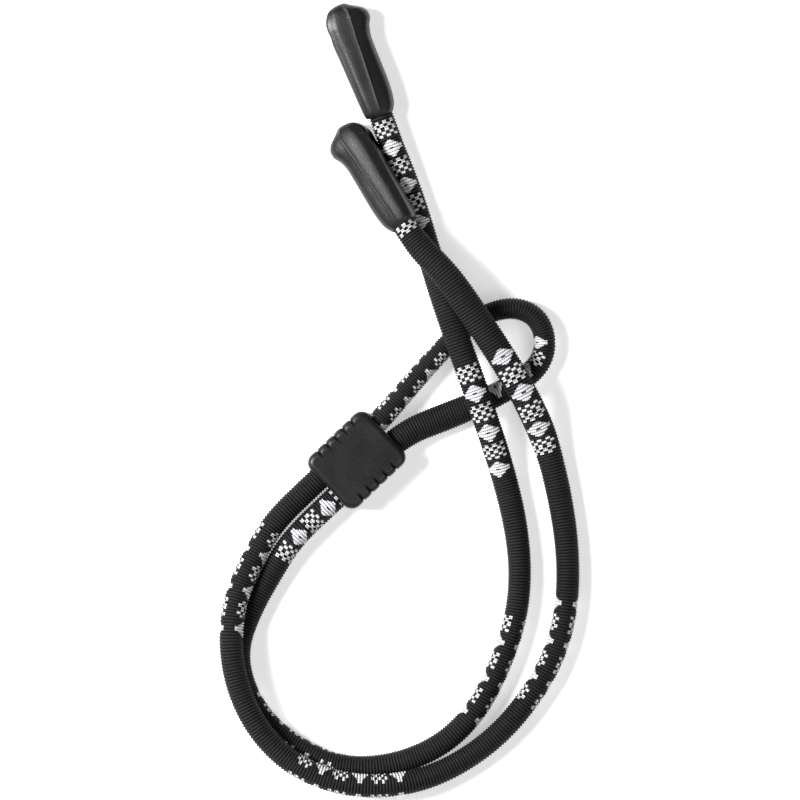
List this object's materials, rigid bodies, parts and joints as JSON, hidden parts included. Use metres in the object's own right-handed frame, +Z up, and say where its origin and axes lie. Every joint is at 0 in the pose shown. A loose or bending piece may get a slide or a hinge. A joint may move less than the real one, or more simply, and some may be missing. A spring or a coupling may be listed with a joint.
{
  "type": "eyeglass retainer strap",
  "caption": "Black woven elastic eyeglass retainer strap with two moulded temple grips and a cord slider, lying in a loose loop.",
  "frame": {"origin": "middle of the slider's flat underside, on the resting surface", "axes": "+Z up from the resting surface, +Y from the slider towards the two temple grips, +X towards the strap's outer strands"},
  "size_m": [0.0756, 0.1672, 0.0126],
  "materials": {
    "grip_rubber": "satin",
    "slider_rubber": "satin",
    "woven_sheath": "matte",
    "elastic_core": "matte",
    "ferrule_steel": "satin",
    "melted_end": "gloss"
  },
  "bodies": {
    "strap": {"temple_grip_a": "grip_rubber", "temple_grip_b": "grip_rubber", "cord_sheath_a": "woven_sheath", "cord_sheath_b": "woven_sheath", "cord_sheath_loop": "woven_sheath", "cord_core_a": "elastic_core", "cord_core_b": "elastic_core", "cord_core_loop": "elastic_core", "end_ferrule_a": "ferrule_steel", "end_ferrule_b": "ferrule_steel", "end_seal_a": "melted_end", "end_seal_b": "melted_end"},
    "slider": {"cord_slider": "slider_rubber"}
  },
  "joints": [
    {"name": "slider_travel", "type": "slide", "parent": "strap", "child": "slider", "axis": [0.7254, 0.6884, 0], "range_m": [-0.008, 0]}
  ]
}
